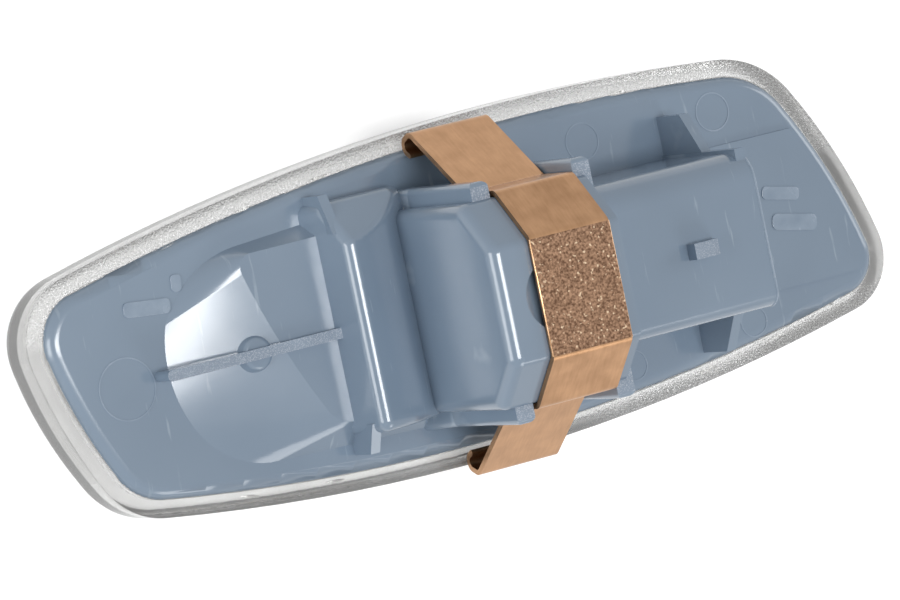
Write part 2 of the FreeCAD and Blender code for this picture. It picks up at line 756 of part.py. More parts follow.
def contact_slots():
    """The two slots that the contact blades are pressed through."""
    half = "( contact_width / 2 + contact_gap )"
    sheet_half = "( contact_sheet / 2 + contact_gap )"
    slots = []
    for level, name in ((-1, "low_slot"), (1, "top_slot")):
        centre = f"shroud_y + {level} * contact_pitch / 2"
        slots.append(box(
            name,
            (f"tower_right_x - housing_wall - {SINK}", f"socket_back_x + {SINK}"),
            (f"{centre} - {half}", f"{centre} + {half}"),
            (f"blade_z - {sheet_half}", f"blade_z + {sheet_half}"),
        ))
    return slots


def make_inside():
    """All the hollows of the housing."""
    floor = "plate_top - housing_wall"
    core = box(
        "shroud_core",
        ("tower_right_x", "mouth_x - housing_wall"),
        ("shroud_y - shroud_half + housing_wall", "shroud_y + shroud_half - housing_wall"),
        (f"{floor} - {SINK}", "socket_floor - housing_wall"),
    )
    vent = cylinder("vent", "vent_radius", "vent_depth * 2", "vent_x", "0", f"{TOWER_TOP} - vent_depth")
    tower_hollow = tower(
        "tower_hollow",
        "housing_wall",
        "tower_left_x + housing_wall",
        "tower_right_x - housing_wall",
        f"{floor} - {SINK}",
    )
    hollows = [
        plan_block("plate_hollow", "- housing_wall", f"- seat_depth - {SINK}", floor),
        bulge("bulge_hollow", "housing_wall"),
        ridge("ridge_hollow", "housing_wall", f"{floor} - {SINK}"),
        tower_hollow,
        core,
        vent,
        make_socket(),
    ]
    return fuse("housing_inside", hollows + contact_slots())


# Spring clip: one strip folded over the tower, with flared legs and curled ends
def make_clip():
    """Half of the strip's middle line, thickened, drawn out, rounded at its bends and mirrored."""
    lift = "( clip_gap + clip_sheet / 2 )"
    top = f"( {TOWER_TOP} + {lift} )"
    half = f"( tower_half + {lift} )"
    bevel = f"( tower_bevel + {lift} * {DIAGONAL_INSET} )"
    heel_y = f"( {half} + clip_flare )"
    points = [
        ("0", top),
        (f"{half} - {bevel}", top),
        (half, f"{top} - {bevel}"),
        (half, "clip_knee_z"),
        (heel_y, "hook_heel_z"),
        (f"{heel_y} - hook_reach", "hook_low_z"),
        (f"{heel_y} - 2 * hook_reach", "hook_end_z"),
    ]
    sketch = new_sketch("clip_line", "YZ", x="- clip_width / 2")
    chain(sketch, points, False)
    strip = doc.addObject("Part::Offset2D", "clip_section")
    strip.Source = sketch
    strip.Join = "Intersection"
    strip.Fill = True
    bind(strip, Value="clip_sheet / 2")
    block = extrude("clip_block", strip, X_AXIS, "clip_width")
    spots = [Vector(0, worth(across), worth(up)) for across, up in points]
    knee = spots[3]
    core = Vector(0, 0, knee.z)

    def in_section(edge):
        return Vector(0, middle(edge).y, middle(edge).z)

    def is_bend(edge):
        at_tail = in_section(edge).distanceToPoint(spots[-1]) < number("clip_sheet")
        return runs_along(edge, X_AXIS) and middle(edge).y > SINK and not at_tail

    def bend_radius(edge):
        at = in_section(edge)
        nearest = min(spots, key=at.distanceToPoint)
        outside = core.distanceToPoint(at) > core.distanceToPoint(nearest)
        inner = number("clip_bend")
        return inner + number("clip_sheet") if outside != (nearest == knee) else inner

    leg = fillet("clip_leg", block, bend_radius, is_bend)
    return fuse("spring_clip", [leg, mirror("clip_other_leg", leg, Y_AXIS)])


# Contacts: stamped strips with a blade in the socket and grips on the bulb base
def make_contact(name, level):
    """One contact strip."""
    base_half = "( pinch_sheet / 2 + wire_radius * 2 + contact_gap )"
    rise_x = "tower_right_x - housing_wall - contact_sheet - contact_gap"
    roof = f"{BULB_BASE} + pinch_sheet / 2"
    low = "blade_z - contact_sheet / 2"
    high = "blade_z + contact_sheet / 2"
    grip_low = f"{roof} - grip_length"
    side = [
        ("blade_tip_x", f"{low} + blade_point"),
        ("blade_tip_x", f"{high} - blade_point"),
        ("blade_tip_x - blade_point * 3", high),
        (f"{rise_x} + contact_sheet", high),
        (f"{rise_x} + contact_sheet", f"{roof} + contact_sheet"),
        (f"bulb_x - {base_half} - contact_sheet", f"{roof} + contact_sheet"),
        (f"bulb_x - {base_half} - contact_sheet", grip_low),
        (f"bulb_x - {base_half}", grip_low),
        (f"bulb_x - {base_half}", roof),
        (f"bulb_x + {base_half}", roof),
        (f"bulb_x + {base_half}", grip_low),
        (f"bulb_x + {base_half} + contact_sheet", grip_low),
        (f"bulb_x + {base_half} + contact_sheet", roof),
        (rise_x, roof),
        (rise_x, low),
        ("blade_tip_x - blade_point * 3", low),
    ]
    edge = f"shroud_y + {level} * contact_pitch / 2 + contact_width / 2"
    return extrude(name, polygon(f"{name}_side", "XZ", side, y=edge), Y_AXIS * -1, "contact_width")


# Wedge bulb: hollow glass with a flat base, two lead wires folded over it, and a filament
def glass_body(name, inset):
    """The round part of the glass, drawn in by an inset."""
    radius = f"bulb_radius - {inset}"
    tip = f"( {BULB_BASE} - bulb_length + bulb_radius )"
    shoulder = f"( {BULB_BASE} - pinch_length - neck_length )"
    return fuse(name, [
        ball(f"{name}_tip", radius, "bulb_x", "0", tip),
        cylinder(f"{name}_side", radius, f"{shoulder} - {tip}", "bulb_x", "0", tip),
        cone(f"{name}_neck", radius, f"neck_radius - {inset}", "neck_length", "bulb_x", "0", shoulder),
    ])


def make_wire(name, level, side):
    """A lead wire that runs up through the base and folds down one face of it."""
    fold = f"{side} * ( pinch_sheet / 2 + wire_radius )"
    spots = [("0", "filament_z"), ("0", BULB_BASE), (fold, BULB_BASE), (fold, f"{BULB_BASE} - wire_fold")]
    start, bend_in, bend_out, end = [Vector(worth(across), worth(up), 0) for across, up in spots]
    crest = bend_in.add(bend_out).multiply(0.5).add(Vector(0, bend_out.sub(bend_in).Length / 2, 0))
    line = new_sketch(f"{name}_line", "XZ", x="bulb_x", y=f"{level} * wire_pitch / 2")
    line.addGeometry(Part.LineSegment(start, bend_in), False)
    line.addGeometry(Part.LineSegment(bend_out, end), False)
    turn = [bend_out, crest, bend_in] if side > 0 else [bend_in, crest, bend_out]
    line.addGeometry(Part.Arc(*turn), False)
    first_end, second_end = (1, 2) if side > 0 else (2, 1)
    line.addConstraint(Sketcher.Constraint("Coincident", 2, first_end, 1, 1))
    line.addConstraint(Sketcher.Constraint("Coincident", 2, second_end, 0, 2))
    for geometry, vertex, (across, up) in zip((0, 0, 1, 1), (1, 2, 1, 2), spots):
        pin(line, "DistanceX", geometry, vertex, across)
        pin(line, "DistanceY", geometry, vertex, up)
    pin(line, "DistanceY", 2, 3, BULB_BASE)
    section = doc.addObject("Part::Circle", f"{name}_section")
    bind(section, Radius="wire_radius")
    place(section, "bulb_x", f"{level} * wire_pitch / 2", "filament_z")
    wire = doc.addObject("Part::Sweep", name)
    wire.Sections = [section]
    wire.Spine = line
    wire.Solid = True
    return wire


def make_bulb():
    """The glass with the lead wires sealed into its base, and the filament between them."""
    pinch = box(
        "pinch",
        ("bulb_x - pinch_sheet / 2", "bulb_x + pinch_sheet / 2"),
        ("- pinch_width / 2", "pinch_width / 2"),
        (f"{BULB_BASE} - pinch_length - neck_length / 2", BULB_BASE),
    )
    wires = [make_wire("low_lead_wire", -1, -1), make_wire("top_lead_wire", 1, 1)]
    filament = cylinder(
        "filament",
        "filament_radius",
        "wire_pitch - wire_radius * 2 - contact_gap * 2",
        "bulb_x",
        "wire_radius + contact_gap - wire_pitch / 2",
        "filament_z + filament_radius",
        LYING,
    )
    body = fuse("glass_outside", [glass_body("glass_round", "0"), pinch])
    hollow = glass_body("glass_hollow", "bulb_wall")
    glass = cut("bulb_glass", body, fuse("glass_inside", [hollow] + wires))
    return [glass, filament] + wires


housing = cut("housing", make_outside(), make_inside())
lens = make_lens()
clip = make_clip()
contacts = [make_contact("low_contact", -1), make_contact("top_contact", 1)]
bulb = make_bulb()
doc.recompute()

parts = [housing, lens, clip] + contacts + bulb
for item in doc.Objects:
    if "Invalid" in item.State or "Error" in item.State:
        raise RuntimeError(f"{item.Name} failed: {item.State}")
os.makedirs("parts", exist_ok=True)
for item in parts:
    shape = item.Shape
    if shape.isNull() or not shape.isValid() or not shape.Solids:
        raise RuntimeError(f"{item.Label} has no valid solid")
    shape.exportStep(f"parts/{item.Label}.step")
    print(item.Label, len(shape.Solids), round(shape.Volume), shape.BoundBox)
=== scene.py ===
# %% [markdown]
# # Side indicator lamp
# This lamp sits in the wing of a car and is seen here from behind, lying on its clear lens. A
# grey-blue moulded housing closes the lens; a copper-coloured strip, folded over the bulb tower,
# springs the lamp into its cut-out; the shroud on the right takes the plug. The solids come from
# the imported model, where sizes and fits are kept. This lesson gives them their finishes and adds
# what is too fine for a solid model: pin marks, low raised bars, weld flash, a bead and two burrs.

# %% Load the frame
import math

import bpy
from mathutils import Matrix, Vector


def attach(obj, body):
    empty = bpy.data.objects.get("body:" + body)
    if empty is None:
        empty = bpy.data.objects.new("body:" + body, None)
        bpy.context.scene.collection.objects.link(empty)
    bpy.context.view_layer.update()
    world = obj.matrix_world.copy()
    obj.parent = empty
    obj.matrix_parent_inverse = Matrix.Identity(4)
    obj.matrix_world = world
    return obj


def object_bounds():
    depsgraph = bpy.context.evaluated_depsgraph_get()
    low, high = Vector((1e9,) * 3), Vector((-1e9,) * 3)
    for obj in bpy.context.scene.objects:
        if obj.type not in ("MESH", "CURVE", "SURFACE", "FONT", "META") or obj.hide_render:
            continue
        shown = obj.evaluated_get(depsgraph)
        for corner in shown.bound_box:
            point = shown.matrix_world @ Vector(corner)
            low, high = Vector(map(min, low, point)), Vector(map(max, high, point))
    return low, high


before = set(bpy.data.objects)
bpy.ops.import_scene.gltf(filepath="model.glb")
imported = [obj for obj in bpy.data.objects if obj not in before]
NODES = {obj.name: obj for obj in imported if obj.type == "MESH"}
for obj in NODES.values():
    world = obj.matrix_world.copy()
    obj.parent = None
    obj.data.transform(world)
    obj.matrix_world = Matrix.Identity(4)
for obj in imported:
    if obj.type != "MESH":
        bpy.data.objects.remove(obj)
CAD_LOW, CAD_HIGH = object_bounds()
MM = 0.001
print("nodes", sorted(NODES))

# %% [markdown]
# ## Camera
# The photograph looks steeply down on the lamp with a long lens, a little from its left end, and
# the picture is rolled. The camera could be placed by eye, but five numbers describe it better:
# two angles to look down and sideways, a roll, a distance, and the scale in the picture. The
# focal length follows from the last two.

# %% Camera
TARGET = Vector((-2.3, 0.0, 0.0)) * MM
TILT = math.radians(29.5)
TURN = math.radians(9.3)
ROLL = math.radians(3.6)
DISTANCE = 750 * MM
PIXELS_PER_MM = 8.95
PHOTO_WIDTH = 900
SENSOR = 36
NEAREST, FARTHEST = 0.05, 20

along = Vector((math.cos(TURN), -math.sin(TURN), 0))
across = Vector((math.sin(TURN), math.cos(TURN), 0))
up = Vector((0, 0, 1))
back = -math.sin(TILT) * along + math.cos(TILT) * up
level = math.cos(TILT) * along + math.sin(TILT) * up
right = math.cos(ROLL) * level - math.sin(ROLL) * across
top = math.sin(ROLL) * level + math.cos(ROLL) * across

camera_data = bpy.data.cameras.new("camera")
camera = bpy.data.objects.new("camera", camera_data)
bpy.context.scene.collection.objects.link(camera)
camera_data.sensor_fit = "HORIZONTAL"
camera_data.sensor_width = SENSOR
camera_data.lens = SENSOR * PIXELS_PER_MM * (DISTANCE / MM) / PHOTO_WIDTH
camera_data.clip_start = NEAREST
camera_data.clip_end = FARTHEST
axes = Matrix((right, top, back)).transposed().to_4x4()
camera.matrix_world = Matrix.Translation(TARGET + DISTANCE * back) @ axes
bpy.context.scene.camera = camera
print("focal length", round(camera_data.lens, 1), "mm")

# %% [markdown]
# ## Floor
# The background of the photograph is white paper. A plane just under the lens takes the shadow.
# It also glows a little, but only for the rays that look at it straight, in a mirror or through
# glass, so that the paper comes out white and the lamp isn't lit by it from below.

# %% Floor
FLOOR_GAP = 0.2 * MM
FLOOR_SIZE = 6
PAPER = (0.8, 0.8, 0.8, 1)
GLOW = 0.42
SEEN_BY = ("Is Camera Ray", "Is Glossy Ray", "Is Transmission Ray")

bpy.ops.object.select_all(action="DESELECT")
bpy.ops.mesh.primitive_plane_add(size=FLOOR_SIZE, location=(0, 0, CAD_LOW.z - FLOOR_GAP))
floor = bpy.context.object
floor.name = "floor"


def ray_mask(tree, *kinds):
    """1 for the named kinds of ray and 0 for the others."""
    ray = tree.nodes.new("ShaderNodeLightPath")
    mask = ray.outputs[kinds[0]]
    for kind in kinds[1:]:
        more = tree.nodes.new("ShaderNodeMath")
        more.operation = "MAXIMUM"
        tree.links.new(mask, more.inputs[0])
        tree.links.new(ray.outputs[kind], more.inputs[1])
        mask = more.outputs[0]
    return mask


paper = bpy.data.materials.new("white_paper")
paper.use_nodes = True
tree = paper.node_tree
tree.nodes.clear()
out = tree.nodes.new("ShaderNodeOutputMaterial")
matt = tree.nodes.new("ShaderNodeBsdfDiffuse")
matt.inputs["Color"].default_value = PAPER
glow = tree.nodes.new("ShaderNodeEmission")
glow.inputs["Strength"].default_value = GLOW
both = tree.nodes.new("ShaderNodeAddShader")
pick = tree.nodes.new("ShaderNodeMixShader")
tree.links.new(matt.outputs[0], both.inputs[0])
tree.links.new(glow.outputs[0], both.inputs[1])
tree.links.new(ray_mask(tree, *SEEN_BY), pick.inputs[0])
tree.links.new(matt.outputs[0], pick.inputs[1])
tree.links.new(both.outputs[0], pick.inputs[2])
tree.links.new(pick.outputs[0], out.inputs["Surface"])
floor.data.materials.append(paper)
print("floor at", round(floor.location.z / MM, 2), "mm")

# %% [markdown]
# ## Light
# The photograph tells where its lights were. White streaks lie on every edge that leans to the
# left, and one end of the bulge is white too. Reflecting the view there, as in a mirror, points
# to one wide box almost straight above. The side of the shroud that faces us is bright, so a
# second box stands low in front. The end walls of the ridge and the tower are bright, so a third
# box fills from the left, and a weaker one from the right keeps that end of the lens pale. The
# room is plain grey, and mirrors and glass see white walls.

# %% Light
ROOM = 0.28
WALLS = 0.85
BOXES = [
    ("top_box", (-0.07, -0.03, 0.90), (0.44, 0.20), 3.7),
    ("front_box", (0.25, -0.70, 0.40), (0.35, 0.35), 1.2),
    ("left_box", (-0.75, 0.0, 0.22), (0.40, 0.40), 2.4),
    ("right_box", (0.75, 0.15, 0.30), (0.40, 0.40), 1.4),
]

world = bpy.data.worlds.new("studio")
bpy.context.scene.world = world
world.use_nodes = True
tree = world.node_tree
room = tree.nodes["Background"]
room.inputs["Color"].default_value = (1, 1, 1, 1)
strength = tree.nodes.new("ShaderNodeMapRange")
strength.inputs["To Min"].default_value = ROOM
strength.inputs["To Max"].default_value = WALLS
tree.links.new(ray_mask(tree, *SEEN_BY), strength.inputs["Value"])
tree.links.new(strength.outputs["Result"], room.inputs["Strength"])


def soft_box(name, place, size, power):
    """A soft light that faces the lamp, of a width along it and a depth across it."""
    data = bpy.data.lights.new(name, "AREA")
    data.shape = "RECTANGLE"
    data.size, data.size_y = size
    data.energy = power
    light = bpy.data.objects.new(name, data)
    bpy.context.scene.collection.objects.link(light)
    toward = Vector(place).normalized()
    side = Vector((0, 1, 0)).cross(toward).normalized()
    turned = Matrix((side, toward.cross(side), toward)).transposed().to_4x4()
    light.matrix_world = Matrix.Translation(place) @ turned
    return light


lights = [soft_box(*row) for row in BOXES]
print("lights", len(lights))
bpy.context.scene.view_settings.view_transform = "Standard"

# %% [markdown]
# ## Shared surface effects
# No moulded or rolled surface is quite even. One node group gives a soft change of tone and a fine
# height; a second gives specks, for faces that a spark-eroded mould or a blank of rolled strip
# leaves grainy, and the materials paint glints on them as bright specks; a third gives the fine
# lines of rolled metal. Each material sets its own scales. Groups keep such effects alike on all
# the pieces and easy to change in one place.

# %% Node groups
SPECK_EDGE = 0.08
SQUEEZE = (1.0, 0.12, 0.12)


def value_socket(group, name, default):
    """A number that the user of a group may set."""
    socket = group.interface.new_socket(name, in_out="INPUT", socket_type="NodeSocketFloat")
    socket.default_value = default


def noise_node(group, detail):
    """A noise in the coordinates of the object."""
    where = group.nodes.new("ShaderNodeTexCoord")
    noise = group.nodes.new("ShaderNodeTexNoise")
    noise.inputs["Detail"].default_value = detail
    group.links.new(where.outputs["Object"], noise.inputs["Vector"])
    return noise


def make_grain():
    """Tone and height of a moulded or rolled surface."""
    group = bpy.data.node_groups.new("surface_grain", "ShaderNodeTree")
    value_socket(group, "Broad Scale", 60)
    value_socket(group, "Fine Scale", 2500)
    group.interface.new_socket("Tone", in_out="OUTPUT", socket_type="NodeSocketFloat")
    group.interface.new_socket("Height", in_out="OUTPUT", socket_type="NodeSocketFloat")
    given = group.nodes.new("NodeGroupInput")
    result = group.nodes.new("NodeGroupOutput")
    broad = noise_node(group, detail=3)
    fine = noise_node(group, detail=2)
    group.links.new(given.outputs["Broad Scale"], broad.inputs["Scale"])
    group.links.new(given.outputs["Fine Scale"], fine.inputs["Scale"])
    group.links.new(broad.outputs["Fac"], result.inputs["Tone"])
    group.links.new(fine.outputs["Fac"], result.inputs["Height"])
    return group


def make_specks():
    """Scattered specks: 0 between them and 1 on them, with their own height."""
    group = bpy.data.node_groups.new("bright_specks", "ShaderNodeTree")
    value_socket(group, "Scale", 3000)
    value_socket(group, "Rarity", 0.6)
    group.interface.new_socket("Mask", in_out="OUTPUT", socket_type="NodeSocketFloat")
    group.interface.new_socket("Height", in_out="OUTPUT", socket_type="NodeSocketFloat")
    given = group.nodes.new("NodeGroupInput")
    result = group.nodes.new("NodeGroupOutput")
    noise = noise_node(group, detail=1)
    step = group.nodes.new("ShaderNodeMapRange")
    edge = group.nodes.new("ShaderNodeMath")
    edge.operation = "ADD"
    edge.inputs[1].default_value = SPECK_EDGE
    group.links.new(given.outputs["Scale"], noise.inputs["Scale"])
    group.links.new(given.outputs["Rarity"], step.inputs["From Min"])
    group.links.new(given.outputs["Rarity"], edge.inputs[0])
    group.links.new(edge.outputs[0], step.inputs["From Max"])
    group.links.new(noise.outputs["Fac"], step.inputs["Value"])
    group.links.new(step.outputs["Result"], result.inputs["Mask"])
    group.links.new(noise.outputs["Fac"], result.inputs["Height"])
    return group


def make_brush():
    """Fine lines along Y, as rolling and rubbing leave them, by a noise drawn out that way."""
    group = bpy.data.node_groups.new("brush_lines", "ShaderNodeTree")
    value_socket(group, "Scale", 1500)
    group.interface.new_socket("Tone", in_out="OUTPUT", socket_type="NodeSocketFloat")
    given = group.nodes.new("NodeGroupInput")
    result = group.nodes.new("NodeGroupOutput")
    noise = noise_node(group, detail=3)
    squeeze = group.nodes.new("ShaderNodeVectorMath")
    squeeze.operation = "MULTIPLY"
    squeeze.inputs[1].default_value = SQUEEZE
    where = noise.inputs["Vector"].links[0].from_socket
    group.links.new(where, squeeze.inputs[0])
    group.links.new(squeeze.outputs[0], noise.inputs["Vector"])
    group.links.new(given.outputs["Scale"], noise.inputs["Scale"])
    group.links.new(noise.outputs["Fac"], result.inputs["Tone"])
    return group


GRAIN = make_grain()
SPECKS = make_specks()
BRUSH = make_brush()
print("groups", GRAIN.name, SPECKS.name, BRUSH.name)

# %% [markdown]
# A small class keeps the materials short: it makes one Principled shader and the few nodes that
# feed it.

# %% Material helper
NOISE_ENDS = (0.3, 0.7)
MASK_ENDS = (0, 1)
FINE = 0.03 * MM
COARSE = 0.06 * MM


def grey(level):
    """A grey as a colour."""
    return (level, level, level)


class Finish:
    """A material with one Principled BSDF and short calls for its nodes."""

    def __init__(self, name):
        self.material = bpy.data.materials.new(name)
        self.material.use_nodes = True
        self.tree = self.material.node_tree
        self.nodes = self.tree.nodes
        self.links = self.tree.links
        self.skin = self.nodes["Principled BSDF"]

    def plain(self, **values):
        """Sets sockets that are the same all over the surface."""
        for name, value in values.items():
            self.skin.inputs[name.replace("_", " ")].default_value = value

    def group(self, source, **values):
        """A shared effect at this material's scales."""
        node = self.nodes.new("ShaderNodeGroup")
        node.node_tree = source
        for name, value in values.items():
            node.inputs[name.replace("_", " ")].default_value = value
        return node

    def blend(self, source, first, second, ends=NOISE_ENDS):
        """One colour up to the first end of a value and another from the second end on."""
        node = self.nodes.new("ShaderNodeValToRGB")
        for element, at, colour in zip(node.color_ramp.elements, ends, (first, second)):
            element.position = at
            element.color = (*colour, 1)
        self.links.new(source, node.inputs["Fac"])
        return node.outputs["Color"]

    def mix(self, mask, first, second):
        """One colour where a mask is 0 and another where it is 1."""
        node = self.nodes.new("ShaderNodeMix")
        node.data_type = "RGBA"
        self.links.new(mask, node.inputs["Factor"])
        for name, colour in (("A", first), ("B", second)):
            socket = next(each for each in node.inputs if each.name == name and each.type == "RGBA")
            if isinstance(colour, tuple):
                socket.default_value = (*colour, 1)
            else:
                self.links.new(colour, socket)
        return next(each for each in node.outputs if each.type == "RGBA")

    def bump(self, height, strength, distance):
        """Tilts the normal by a height."""
        node = self.nodes.new("ShaderNodeBump")
        node.inputs["Strength"].default_value = strength
        node.inputs["Distance"].default_value = distance
        self.links.new(height, node.inputs["Height"])
        self.drive("Normal", node.outputs["Normal"])

    def drive(self, socket, source):
        """Feeds a socket of the shader."""
        self.links.new(source, self.skin.inputs[socket])

    def rough(self, source, first, second, ends=NOISE_ENDS):
        """Lets the roughness go from one value to another with a noise or a mask."""
        self.drive("Roughness", self.blend(source, grey(first), grey(second), ends))


def dress(node, *finishes):
    """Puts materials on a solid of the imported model."""
    slots = NODES[node].data.materials
    slots.clear()
    for finish in finishes:
        slots.append(finish.material)


# %% [markdown]
# ## Housing
# The housing is polycarbonate coloured grey-blue all through, from a polished mould, so it is
# glossy and streaks of light run along its edges. Three finishes share it. Most of it is the plain
# plastic with faint flow marks and scuffs. The tops of the rib, the posts and the nub come from
# spark-eroded pockets of the mould; they are grainy, and their glitter is painted in as pale
# specks, which are painted glints. The inside, behind the lens, is metallised so that it throws the
# light forward. A fourth, paler one is for the fine marks added below: its paler blue is a painted
# highlight for the light that their thin edges catch.

# %% Housing plastic
PC_IOR = 1.58
PC_SPECULAR = 0.65
BLUE = [(0.192, 0.257, 0.338), (0.222, 0.291, 0.375)]
SCUFF = (0.29, 0.36, 0.44)
SCUFF_ENDS = (0.66, 0.74)
PAINTED_GLINT_GREY = (0.44, 0.49, 0.56)

housing_plastic = Finish("housing_plastic")
housing_plastic.plain(IOR=PC_IOR, Specular_IOR_Level=PC_SPECULAR)
grain = housing_plastic.group(GRAIN, Broad_Scale=45, Fine_Scale=900)
scuffs = housing_plastic.group(BRUSH, Scale=1100)
scuffed = housing_plastic.blend(scuffs.outputs["Tone"], grey(0), grey(1), SCUFF_ENDS)
blue = housing_plastic.blend(grain.outputs["Tone"], *BLUE)
housing_plastic.drive("Base Color", housing_plastic.mix(scuffed, blue, SCUFF))
housing_plastic.rough(grain.outputs["Tone"], 0.14, 0.20)
housing_plastic.bump(grain.outputs["Height"], 0.06, FINE)

eroded_plastic = Finish("eroded_plastic")
eroded_plastic.plain(IOR=PC_IOR)
grain = eroded_plastic.group(GRAIN, Broad_Scale=300, Fine_Scale=4000)
specks = eroded_plastic.group(SPECKS, Scale=8500, Rarity=0.55)
tone = eroded_plastic.blend(grain.outputs["Tone"], (0.20, 0.25, 0.32), (0.25, 0.31, 0.39))
# Painted glints: the specks take a paler blue-grey, standing in for the light they catch.
eroded_plastic.drive("Base Color", eroded_plastic.mix(specks.outputs["Mask"], tone, PAINTED_GLINT_GREY))
eroded_plastic.rough(specks.outputs["Mask"], 0.45, 0.2, MASK_ENDS)
eroded_plastic.bump(specks.outputs["Height"], 0.5, COARSE)

# Painted highlight: a paler blue than the housing, standing in for the light that the thin edges of
# the marks, bars and bead catch.
pale_highlight_plastic = Finish("pale_highlight_plastic")
pale_highlight_plastic.plain(IOR=PC_IOR, Specular_IOR_Level=PC_SPECULAR)
grain = pale_highlight_plastic.group(GRAIN, Broad_Scale=400, Fine_Scale=2000)
pale = pale_highlight_plastic.blend(grain.outputs["Tone"], (0.215, 0.282, 0.368), (0.285, 0.356, 0.444))
pale_highlight_plastic.drive("Base Color", pale)
pale_highlight_plastic.rough(grain.outputs["Tone"], 0.2, 0.3)
pale_highlight_plastic.bump(grain.outputs["Height"], 0.2, FINE)

metallised = Finish("metallised_inside")
metallised.plain(Metallic=1.0)
grain = metallised.group(GRAIN, Broad_Scale=70, Fine_Scale=1500)
metallised.drive("Base Color", metallised.blend(grain.outputs["Tone"], grey(0.80), grey(0.88)))
metallised.rough(grain.outputs["Tone"], 0.16, 0.26)
metallised.bump(grain.outputs["Height"], 0.1, FINE)

# %% [markdown]
# The faces are told apart by place. A face is inside if nothing of the housing lies below it: a
# ray straight down from it then leaves through the open front. The eroded tops face up at three
# known heights.

# %% Faces of the housing
RIB_TOP, RIB_END, RIB_HALF = 4.2, -19, 1.0
POST_TOP, POST_REACH, POST_INNER = 19.0, 8, 11
NUB_TOP, NUB_START, NUB_HALF = 19.3, 17, 1.5
CLOSE = 0.05
FACES_UP = 0.95
FACES_ASIDE = 0.5
PLAIN, ERODED, INSIDE = range(3)
EROSION = [
    (RIB_TOP, lambda spot: spot.x < RIB_END and abs(spot.y) < RIB_HALF),
    (POST_TOP, lambda spot: abs(spot.x) < POST_REACH and abs(spot.y) > POST_INNER),
    (NUB_TOP, lambda spot: spot.x > NUB_START and abs(spot.y) < NUB_HALF),
]


def is_eroded(spot, normal):
    """Whether a face is the top of the rib, of a post or of the nub."""
    if normal.z < FACES_UP:
        return False
    return any(abs(spot.z - height) < CLOSE and holds(spot) for height, holds in EROSION)


def is_inside(obj, face):
    """Whether the way straight down from a face is free."""
    start = face.center + face.normal * CLOSE * MM
    return not obj.ray_cast(start, Vector((0, 0, -1)))[0]


housing = NODES["housing"]
dress("housing", housing_plastic, eroded_plastic, metallised)
counts = [0, 0, 0]
for face in housing.data.polygons:
    if is_eroded(face.center / MM, face.normal):
        face.material_index = ERODED
    elif face.normal.z < FACES_ASIDE and is_inside(housing, face):
        face.material_index = INSIDE
    else:
        face.material_index = PLAIN
    counts[face.material_index] += 1
print("faces: plastic, eroded, inside", counts)

# %% [markdown]
# ## Lens
# The lens is clear acrylic. Seen from behind only its rim shows, and light that runs through the
# thick rim makes it look pale; that light is painted into the rim as a pale, milky base colour
# under part of the glass. Parts of the rim are stippled like orange peel, which hides the weld. The
# crown in front, polished inside and out, has a second, clearer finish. Light passes through the
# lens on its way to the inside: both shaders let most of the shadow rays through, as clear plastic
# would.

# %% Lens acrylic
STIPPLE_BACK = (5.0 * MM, 7.0 * MM)
STIPPLE_FRONT = (-9.0 * MM, -11.0 * MM)
STIPPLE_RIGHT = (8.0 * MM, 16.0 * MM)
STIPPLE_TOP = (-0.9 * MM, -0.5 * MM)
SHADE = 0.12
ACRYLIC_IOR = 1.49
PAINTED_RIM_LIGHT = [(0.52, 0.52, 0.51), (0.76, 0.76, 0.75)]
DOTS = [(0.66, 0.66, 0.65), (0.95, 0.95, 0.94)]
DOT_ENDS = (0.40, 0.60)
PEEL = 0.2 * MM
CROWN_Z = -3 * MM
CROWN_TILT = 0.5
RIM, CROWN = range(2)


def between(finish, value, ends):
    """0 before the first of two ends, 1 after the second."""
    node = finish.nodes.new("ShaderNodeMapRange")
    node.inputs["From Min"].default_value, node.inputs["From Max"].default_value = ends
    finish.links.new(value, node.inputs["Value"])
    return node.outputs["Result"]


def joined(finish, operation, first, second):
    """Two values joined by one operation."""
    node = finish.nodes.new("ShaderNodeMath")
    node.operation = operation
    finish.links.new(first, node.inputs[0])
    finish.links.new(second, node.inputs[1])
    return node.outputs[0]


def stipple_zone(finish):
    """1 along the back edge of the rim, and along the right part of its front edge."""
    where = finish.nodes.new("ShaderNodeTexCoord")
    axes = finish.nodes.new("ShaderNodeSeparateXYZ")
    finish.links.new(where.outputs["Object"], axes.inputs[0])
    x, y, z = axes.outputs
    right = between(finish, x, STIPPLE_RIGHT)
    front = joined(finish, "MULTIPLY", right, between(finish, y, STIPPLE_FRONT))
    either = joined(finish, "MAXIMUM", front, between(finish, y, STIPPLE_BACK))
    return joined(finish, "MULTIPLY", either, between(finish, z, STIPPLE_TOP))


def pass_light(finish):
    """Lets most of the shadow rays through a clear material."""
    shade = finish.nodes.new("ShaderNodeMapRange")
    shade.inputs["To Min"].default_value = 1.0
    shade.inputs["To Max"].default_value = SHADE
    finish.links.new(ray_mask(finish.tree, "Is Shadow Ray"), shade.inputs["Value"])
    finish.drive("Alpha", shade.outputs["Result"])


lens_acrylic = Finish("lens_acrylic")
lens_acrylic.plain(IOR=ACRYLIC_IOR, Transmission_Weight=0.72)
grain = lens_acrylic.group(GRAIN, Broad_Scale=60, Fine_Scale=700)
stipple = lens_acrylic.group(GRAIN, Broad_Scale=4200, Fine_Scale=700)
